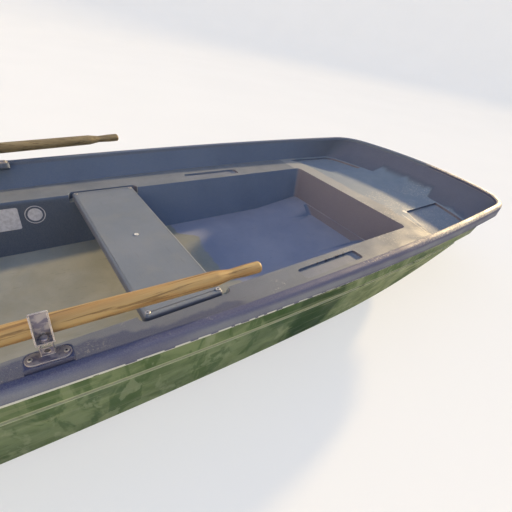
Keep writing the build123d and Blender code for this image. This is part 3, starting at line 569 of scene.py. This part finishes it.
def hull_material():
    """Green moulding with pale lines along it, a painted highlight along the lap and a scuffed bottom."""
    t = Tree("hull")
    color = hull_greens(t)
    forward = t.fade(t.part(X), *STREAK_X)
    color = t.over(color, "hull_streak", t.mottle(HULL_STREAK), forward)
    # Painted highlight along the lap, with breaks
    color = t.over(color, "lap_highlight", t.band(t.part(Z), *LAP_HIGHLIGHT_Z), t.mottle(LAP_BREAKS), amount=0.85)
    color = t.over(color, "hull_edge", t.edges(MOULDING_EDGE), t.mottle(HULL_EDGE), amount=0.4)
    color = t.over(color, "hull_scuff", t.fade(t.part(Z), *SCUFF_Z), t.mottle(HULL_SCUFF), amount=0.6)
    return t.finish(color, t.mottle(HULL_ROUGH), t.relief(HULL_RELIEF), specular=0.3)


# Bead and thwart

BEAD_DASH_X = (-0.55, 0.5, 0.16, -0.03)
BEAD_DASH = Mottle(1.0, 0.44, 0.47, detail=0, rough=0.5, stretch=(26, 0.01, 0.01))
BEAD_DIRT = Mottle(60, 0.5, 0.7, detail=4)
BEAD_ROUGH = Mottle(40, values=(0.45, 0.65))
BEAD_RELIEF = ((Mottle(200), 0.3, 0.001),)

THWART_TOP = (0.5, 0.95)
THWART_CLOUD = Mottle(3.1, 0.35, 0.7, detail=4)
THWART_FINE = Mottle(380, 0.42, 0.64, detail=2)
THWART_DUST = Mottle(9, 0.45, 0.75, detail=5, rough=0.7)
THWART_EDGE = Mottle(26, 0.36, 0.6)
THWART_LINE = Mottle(3, 0.66, 0.70, 3, 0.5, 0.3, stretch=(40, 3, 40), turn=(0, 0, 0.2))
THWART_ROUGH = Mottle(12, values=(0.42, 0.58))
THWART_RELIEF = ((Mottle(480, detail=2), 0.25, 0.001), (Mottle(5, detail=2), 0.3, 0.005))


def bead_material():
    """Pale strip, broken by dark dashes that grow towards the bow."""
    t = Tree("bead")
    pale = t.ramp(t.plus(t.noise(BEAD_DASH), t.fade(t.part(X), *BEAD_DASH_X)), BEAD_DASH)
    color = t.mix(pale, PAINT["bead_dark"], PAINT["bead"])
    color = t.over(color, "bead_dirt", t.mottle(BEAD_DIRT), amount=0.35)
    return t.finish(color, t.mottle(BEAD_ROUGH), t.relief(BEAD_RELIEF))


def thwart_material():
    """Grey plank with painted shade on its sides, dust on top, edges lightened as rubbed wear and as a
    painted highlight, and faint lines.
    """
    t = Tree("thwart")
    up = t.fade(t.facing(Z), *THWART_TOP)
    color = t.cloudy(THWART_CLOUD, "thwart", "thwart_light")
    color = t.over(color, "thwart_fine", t.mottle(THWART_FINE), amount=0.14)
    # Painted shade on every face that doesn't look up
    color = t.over(color, "thwart_side_shade", t.minus(1.0, up), amount=0.6)
    color = t.over(color, "thwart_dust", t.mottle(THWART_DUST), up, amount=0.25)
    # Edges lightened as rubbed wear and as a painted highlight
    color = t.over(color, "thwart_edge_wear_and_highlight", t.edges(MOULDING_EDGE), t.mottle(THWART_EDGE), amount=0.5)
    color = t.over(color, "thwart_line", t.mottle(THWART_LINE), amount=0.3)
    return t.finish(color, t.mottle(THWART_ROUGH), t.relief(THWART_RELIEF), specular=0.35)


# Wood, metal and plain plastic

WOOD_BANDS = Mottle(3.0, 0.36, 0.64, 3, 0.5, 0.7, stretch=(0.55, 12, 12))
WOOD_LINES = Mottle(4, 0.55, 0.62, 4, 0.55, 0.3, stretch=(0.5, 30, 30))
WOOD_FIBRE = Mottle(6, 0.42, 0.66, 4, 0.6, stretch=(3, 120, 120))
WOOD_PATCH = Mottle(4, 0.55, 0.7, 4, 0.6, 0.5)
WOOD_ROUGH = Mottle(16, detail=4, values=(0.42, 0.62))
WOOD_RELIEF = (0.35, 0.0015)
LINE_DEPTH = 0.6
LINE_AMOUNT = 0.7
LINE_SHADE = (0.45, 0.4, 0.35)
KNOT_SCALE = 7
KNOT_SIZE = (0.05, 0.028)

METAL_CLOUD = Mottle(60, 0.4, 0.62, 3, 0.5, 0.4)
METAL_BLOOM = Mottle(34, 0.5, 0.72, detail=5, rough=0.65)
METAL_RUST = Mottle(90, 0.66, 0.74, detail=4, rough=0.6)
METAL_ROUGH = Mottle(80)
METAL_RELIEF = ((Mottle(260), 0.3, 0.0006),)

PLAIN_ROUGH_FINER = 1.7
PLAIN_GRAIN_FINER = 8
PLAIN_RELIEF = (0.25, 0.0006)


def wood_material(name, turn, tone):
    """Long grain along the piece. turn lays the piece's length along X."""
    t = Tree(name)
    dark, worn = PAINT[f"{tone}_dark"], f"{tone}_worn"
    color = t.mix(t.mottle(WOOD_BANDS._replace(turn=turn)), PAINT[tone], dark)
    lines = t.mottle(WOOD_LINES._replace(turn=turn))
    line_tone = [part * shade for part, shade in zip(dark, LINE_SHADE)]
    color = t.mix(t.times(lines, LINE_AMOUNT), color, (*line_tone, 1))
    fibre = t.noise(WOOD_FIBRE._replace(turn=turn))
    color = t.over(color, worn, t.ramp(fibre, WOOD_FIBRE), amount=0.22)
    color = t.over(color, worn, t.mottle(WOOD_PATCH), amount=0.4)
    color = t.over(color, "knot", t.fade(t.cells(KNOT_SCALE), *KNOT_SIZE), amount=0.45)
    color = t.over(color, worn, t.edges(WOOD_EDGE), amount=0.5)
    normal = t.bump(t.minus(fibre, t.times(lines, LINE_DEPTH)), *WOOD_RELIEF)
    return t.finish(color, t.mottle(WOOD_ROUGH), normal, specular=0.3)


def metal_material(name, tone, rough):
    """Weathered steel with soft bloom, edges lightened as a painted highlight and a little rust, over a
    range of roughness.
    """
    t = Tree(name)
    color = t.cloudy(METAL_CLOUD, tone, f"{tone}_dark")
    color = t.over(color, "metal_bloom", t.mottle(METAL_BLOOM), amount=0.25)
    color = t.over(color, "metal_rust", t.mottle(METAL_RUST), amount=0.45)
    # Painted highlight on the edges
    color = t.over(color, "metal_edge_highlight", t.edges(METAL_EDGE), amount=0.85)
    rough = t.mottle(METAL_ROUGH._replace(values=rough))
    return t.finish(color, rough, t.relief(METAL_RELIEF), metallic=0.7)


def plain_material(name, tone, rough, scale):
    """One tone that clouds into its worn tone and is worn at the edges, over a range of roughness."""
    t = Tree(name)
    color = t.cloudy(Mottle(scale, 0.35, 0.68, detail=4), tone, f"{tone}_worn")
    color = t.over(color, f"{tone}_worn", t.edges(PLAIN_EDGE), amount=0.5)
    grain = t.noise(Mottle(scale * PLAIN_GRAIN_FINER))
    rough = t.mottle(Mottle(scale * PLAIN_ROUGH_FINER, values=rough))
    return t.finish(color, rough, t.bump(grain, *PLAIN_RELIEF))


def along_oar(toe):
    """Rotation that lays an oar's length along X."""
    return (0, -math.radians(DROP), -math.radians(toe))


MATERIALS = {
    "liner": liner_material(),
    "hull": hull_material(),
    "bead": bead_material(),
    "thwart": thwart_material(),
    "screws": metal_material("screws", "steel", (0.3, 0.5)),
    "galvanized": metal_material("galvanized", "galvanized", (0.3, 0.46)),
    "plug": plain_material("plug", "plug", (0.35, 0.5), scale=90),
    "black_plastic": plain_material("black_plastic", "black", (0.4, 0.6), scale=40),
    "ply": wood_material("ply", (0, 0, math.pi / 2), "ply"),
    "badge": plain_material("badge", "badge", (0.5, 0.7), scale=60),
    "socket_shade": plain_material("socket_shade", "socket_shade", (0.6, 0.8), scale=200),
}
# The port oar gets its painted shade tones, the starboard oar its sunlit tones
for name, toe in TOES.items():
    MATERIALS[f"oar_{name}"] = wood_material(f"oar_wood_{name}", along_oar(toe), f"oar_{name}")


# CAD nodes: material, bevel width in metres, bevel segments
BOAT_FINISHES = {
    "hull_shell": ("hull", 0.003, 2),
    "inner_liner": ("liner", 0.004, 3),
    "seam_bead": ("bead", 0.0015, 2),
    "thwart": ("thwart", 0.001, 2),
    "thwart_screws": ("screws", 0, 2),
    "thwart_plug": ("plug", 0, 2),
    "motor_pad_outer": ("ply", 0.002, 2),
    "motor_pad_inner": ("ply", 0.0015, 2),
    "drain_plug": ("black_plastic", 0.001, 2),
    "bow_eye": ("galvanized", 0.0012, 2),
}
SIDE_FINISHES = {
    "lock_boss": ("liner", 0.004, 3),
    "lock_plate": ("galvanized", 0.0008, 2),
    "lock_screws": ("screws", 0, 2),
    "lock_yoke": ("galvanized", 0.0006, 2),
    "oar_bolt": ("galvanized", 0.0006, 2),
}
OAR_BEVEL = 0.001
WELD_DISTANCE = 0.00002
BEVEL_ANGLE = math.radians(32)
NORMAL_WEIGHT = 80


def bevel(o, width, segments=2, angle=None):
    edge = o.modifiers.new("bevel", "BEVEL")
    edge.width = width
    edge.segments = segments
    edge.limit_method = "ANGLE"
    if angle:
        edge.angle_limit = angle


def dress(node, material, width, segments=2):
    """Give a CAD node its material, small bevels and smooth shading."""
    o = nodes[node]
    o.data.materials.clear()
    o.data.materials.append(MATERIALS[material])
    o.modifiers.new("weld", "WELD").merge_threshold = WELD_DISTANCE
    if width:
        bevel(o, width, segments, BEVEL_ANGLE)
    normals = o.modifiers.new("normals", "WEIGHTED_NORMAL")
    normals.keep_sharp = False
    normals.weight = NORMAL_WEIGHT
    for polygon in o.data.polygons:
        polygon.use_smooth = True


for node, finish in BOAT_FINISHES.items():
    dress(node, *finish)
for name in SIDES:
    for node, finish in SIDE_FINISHES.items():
        dress(f"{node}_{name}", *finish)
    dress(f"oar_{name}", f"oar_{name}", OAR_BEVEL)


# Outlines and meshes of the small pieces

def circle(radius, count, centre=(0, 0)):
    turns = (2 * math.pi * i / count for i in range(count))
    return [(centre[0] + radius * math.cos(a), centre[1] + radius * math.sin(a)) for a in turns]


def rounded(width, height, radius, count=6):
    """Corner points of a rounded rectangle, anticlockwise."""
    points = []
    for quarter, (sx, sy) in enumerate(((1, 1), (-1, 1), (-1, -1), (1, -1))):
        for i in range(count + 1):
            a = math.pi / 2 * (quarter + i / count)
            points.append((
                sx * (width / 2 - radius) + radius * math.cos(a),
                sy * (height / 2 - radius) + radius * math.sin(a),
            ))
    return points


def add_prism(made, points, foot_z, top_z):
    """Upright prism on an outline."""
    foot = [made.verts.new((x, y, foot_z)) for x, y in points]
    top = [made.verts.new((x, y, top_z)) for x, y in points]
    made.faces.new(foot)
    made.faces.new(top)
    for i in range(len(points)):
        j = (i + 1) % len(points)
        made.faces.new((foot[i], foot[j], top[j], top[i]))


def plate_mesh(points, thick):
    """Flat plate from its outline, standing up along Z."""
    made = bmesh.new()
    add_prism(made, points, 0, thick)
    return made


def ring_mesh(inner, outer, thick, count=64):
    """Flat ring standing up along Z."""
    made = bmesh.new()
    rows = []
    for radius, z in ((inner, 0), (outer, 0), (outer, thick), (inner, thick)):
        rows.append([made.verts.new((x, y, z)) for x, y in circle(radius, count)])
    for low, high in zip(rows, rows[1:] + rows[:1]):
        for i in range(count):
            j = (i + 1) % count
            made.faces.new((low[i], low[j], high[j], high[i]))
    return made


def piece(name, made, material, place, edge):
    """Object from a finished mesh that rides on the boat."""
    mesh = bpy.data.meshes.new(name)
    bmesh.ops.recalc_face_normals(made, faces=made.faces)
    made.to_mesh(mesh)
    made.free()
    mesh.materials.append(MATERIALS[material])
    o = bpy.data.objects.new(name, mesh)
    o.matrix_world = place
    bpy.context.scene.collection.objects.link(o)
    bevel(o, edge)
    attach(o, "boat")


# Blank badge and plate on the cockpit's port wall

WALL_LENGTH = math.hypot(WALL_TOP - WALL_FOOT, DECK_TOP - FLOOR_TOP)
STICK = 0.0003
PLATE_SPOT = (-0.703, 0.268)
PLATE_SIZE = (0.120, 0.100)
PLATE_CORNER = 0.008
BADGE_SPOT = (-0.580, 0.275)
RING_INNER = 0.0385
RING_OUTER = 0.0420
DISC_RADIUS = 0.030
DISC_CORNERS = 48
PLATE_THICK = 0.0008
DISC_THICK = 0.0006
PLATE_EDGE = 0.0003
BADGE_EDGE = 0.0002


def on_port_wall(x, z):
    """Place on the wall, with Z away from it and Y up along it."""
    lean = (WALL_TOP - WALL_FOOT) / WALL_LENGTH
    rise = (DECK_TOP - FLOOR_TOP) / WALL_LENGTH
    y = WALL_TOP - (DECK_TOP - z) * lean / rise
    across, along, away = Vector((1, 0, 0)), Vector((0, lean, rise)), Vector((0, -rise, lean))
    place = Matrix((across, along, away)).transposed().to_4x4()
    place.translation = Vector((x, y, z)) + STICK * away
    return place


def wall_marks():
    plate = plate_mesh(rounded(*PLATE_SIZE, PLATE_CORNER), PLATE_THICK)
    ring = ring_mesh(RING_INNER, RING_OUTER, PLATE_THICK)
    disc = plate_mesh(circle(DISC_RADIUS, DISC_CORNERS), DISC_THICK)
    piece("wall_plate", plate, "badge", on_port_wall(*PLATE_SPOT), PLATE_EDGE)
    piece("wall_ring", ring, "badge", on_port_wall(*BADGE_SPOT), BADGE_EDGE)
    piece("wall_disc", disc, "badge", on_port_wall(*BADGE_SPOT), BADGE_EDGE)


# Dark sockets in the screw heads: painted shade standing in for their recesses

THWART_HEAD = 0.009
THWART_SOCKET = 0.0030
PLATE_HEAD = 0.0055
PLATE_SOCKET = 0.0024
SOCKET_DEPTH = 0.0004
SOCKET_PROUD = 0.0001
SOCKET_EDGE = 0.0001
SOCKET_SIDES = 6


def screw_spots(node, head):
    """Middles of heads at the corners of a node's box, and the heads' top."""
    low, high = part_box(node)
    spots = [(x, y) for x in (low[X] + head, high[X] - head) for y in (low[Y] + head, high[Y] - head)]
    return spots, high[Z]


def sockets(name, spots, radius, top):
    """Thin dark hexagons in screw heads, a hair above their top, painted shade standing in for the socket
    recesses.
    """
    made = bmesh.new()
    for spot in spots:
        add_prism(made, circle(radius, SOCKET_SIDES, spot), -SOCKET_DEPTH, 0)
    # Painted shade where the socket recesses would be
    piece(name, made, "socket_shade", Matrix.Translation((0, 0, top + SOCKET_PROUD)), SOCKET_EDGE)


def screw_sockets():
    """Sockets for the thwart's four screws, and for each plate's two at opposite corners."""
    spots, top = screw_spots("thwart_screws", THWART_HEAD)
    sockets("thwart_sockets", spots, THWART_SOCKET, top)
    for name, side in SIDES.items():
        spots, top = screw_spots(f"lock_screws_{name}", PLATE_HEAD)
        pair = [spots[0], spots[3]] if side > 0 else [spots[1], spots[2]]
        sockets(f"lock_sockets_{name}", pair, PLATE_SOCKET, top)


wall_marks()
screw_sockets()


# Camera, from the photo's vanishing points

FOCAL_PIXELS = 332.12
PHOTO_PIXELS = 512
SENSOR = 36
CLIP_START = 0.02
CAMERA_PLACE = (-0.665, -1.232, 1.145)
CAMERA_RIGHT = (0.79816345, -0.58353225, 0.14975053)
CAMERA_UP = (0.23258851, 0.52778076, 0.81691496)
CAMERA_BACK = (-0.55573167, -0.61720141, 0.55697821)


def add_camera(scene):
    data = bpy.data.cameras.new("camera")
    data.sensor_width = SENSOR
    data.lens = SENSOR * FOCAL_PIXELS / PHOTO_PIXELS
    data.clip_start = CLIP_START
    camera = bpy.data.objects.new("camera", data)
    place = Matrix((CAMERA_RIGHT, CAMERA_UP, CAMERA_BACK)).transposed().to_4x4()
    place.translation = CAMERA_PLACE
    camera.matrix_world = place
    scene.collection.objects.link(camera)
    scene.camera = camera


# Light: a low warm key from ahead of the bow, a weak fill and a cool sky

KEY_POWER = 8.0
KEY_COLOR = (1.0, 0.74, 0.40)
KEY_FROM = (4.0, 0.76, 1.05)
KEY_ANGLE = math.radians(2.5)
FILL_POWER = 5
FILL_COLOR = (0.90, 0.94, 1.0)
FILL_FROM = (-1.0, -3.0, 3.9)
FILL_PLACE = (-1.0, -3.0, 4.2)
FILL_SIZE = 4.0
SKY_COLOR = (0.46, 0.62, 1.0, 1)
SKY_POWER = 0.84


def lamp(scene, name, kind, power, color, source):
    """Lamp that shines from the direction of its source."""
    data = bpy.data.lights.new(name, kind)
    data.energy = power
    data.color = color
    o = bpy.data.objects.new(name, data)
    o.rotation_euler = Vector(source).to_track_quat("Z", "Y").to_euler()
    scene.collection.objects.link(o)
    return o


def add_light(scene):
    key = lamp(scene, "key", "SUN", KEY_POWER, KEY_COLOR, KEY_FROM)
    key.data.angle = KEY_ANGLE
    fill = lamp(scene, "fill", "AREA", FILL_POWER, FILL_COLOR, FILL_FROM)
    fill.data.size = FILL_SIZE
    fill.location = FILL_PLACE
    scene.world = bpy.data.worlds.new("world")
    scene.world.use_nodes = True
    color, power = scene.world.node_tree.nodes["Background"].inputs[:2]
    color.default_value = SKY_COLOR
    power.default_value = SKY_POWER
    scene.view_settings.view_transform = "Standard"


# Pale floor that curves up far away all round: radius and height of each ring, in metres

FLOOR_PROFILE = ((14, 0), (17, 0.35), (19.5, 1.6), (21, 4), (21.6, 8), (21.8, 16))
FLOOR_TURNS = 64
FLOOR_CLOUDS = Mottle(0.6)
FLOOR_DARKER = (0.74, 0.74, 0.72, 1)
FLOOR_LIGHTER = (0.77, 0.77, 0.75, 1)
FLOOR_GLOW = (0.96, 0.96, 0.96, 1)
GLOW_SHARE = 0.6


def floor_mesh():
    made = bmesh.new()
    middle = made.verts.new((0, 0, 0))
    rows = [
        [made.verts.new((x, y, height)) for x, y in circle(radius, FLOOR_TURNS)]
        for radius, height in FLOOR_PROFILE
    ]
    for i in range(FLOOR_TURNS):
        j = (i + 1) % FLOOR_TURNS
        made.faces.new((middle, rows[0][i], rows[0][j]))
        for low, high in zip(rows, rows[1:]):
            made.faces.new((low[i], high[i], high[j], low[j]))
    mesh = bpy.data.meshes.new("floor")
    made.to_mesh(mesh)
    made.free()
    for polygon in mesh.polygons:
        polygon.use_smooth = True
    return mesh


def floor_material():
    """Pale matt floor that the camera sees nearly white, with the boat's shadow kept."""
    t = Tree("floor")
    color = t.mix(t.mottle(FLOOR_CLOUDS), FLOOR_DARKER, FLOOR_LIGHTER)
    matt = t.add("ShaderNodeBsdfDiffuse", {"Color": color}).outputs[0]
    glow = t.add("ShaderNodeEmission", {"Color": FLOOR_GLOW, "Strength": 1.0}).outputs[0]
    seen = t.times(t.add("ShaderNodeLightPath").outputs["Is Camera Ray"], GLOW_SHARE)
    return t.surface(t.add("ShaderNodeMixShader", {0: seen, 1: matt, 2: glow}).outputs[0])


def add_floor(scene):
    floor = bpy.data.objects.new("floor", floor_mesh())
    floor.data.materials.append(floor_material())
    scene.collection.objects.link(floor)
    floor.visible_shadow = False


scene = bpy.context.scene
add_camera(scene)
add_light(scene)
add_floor(scene)
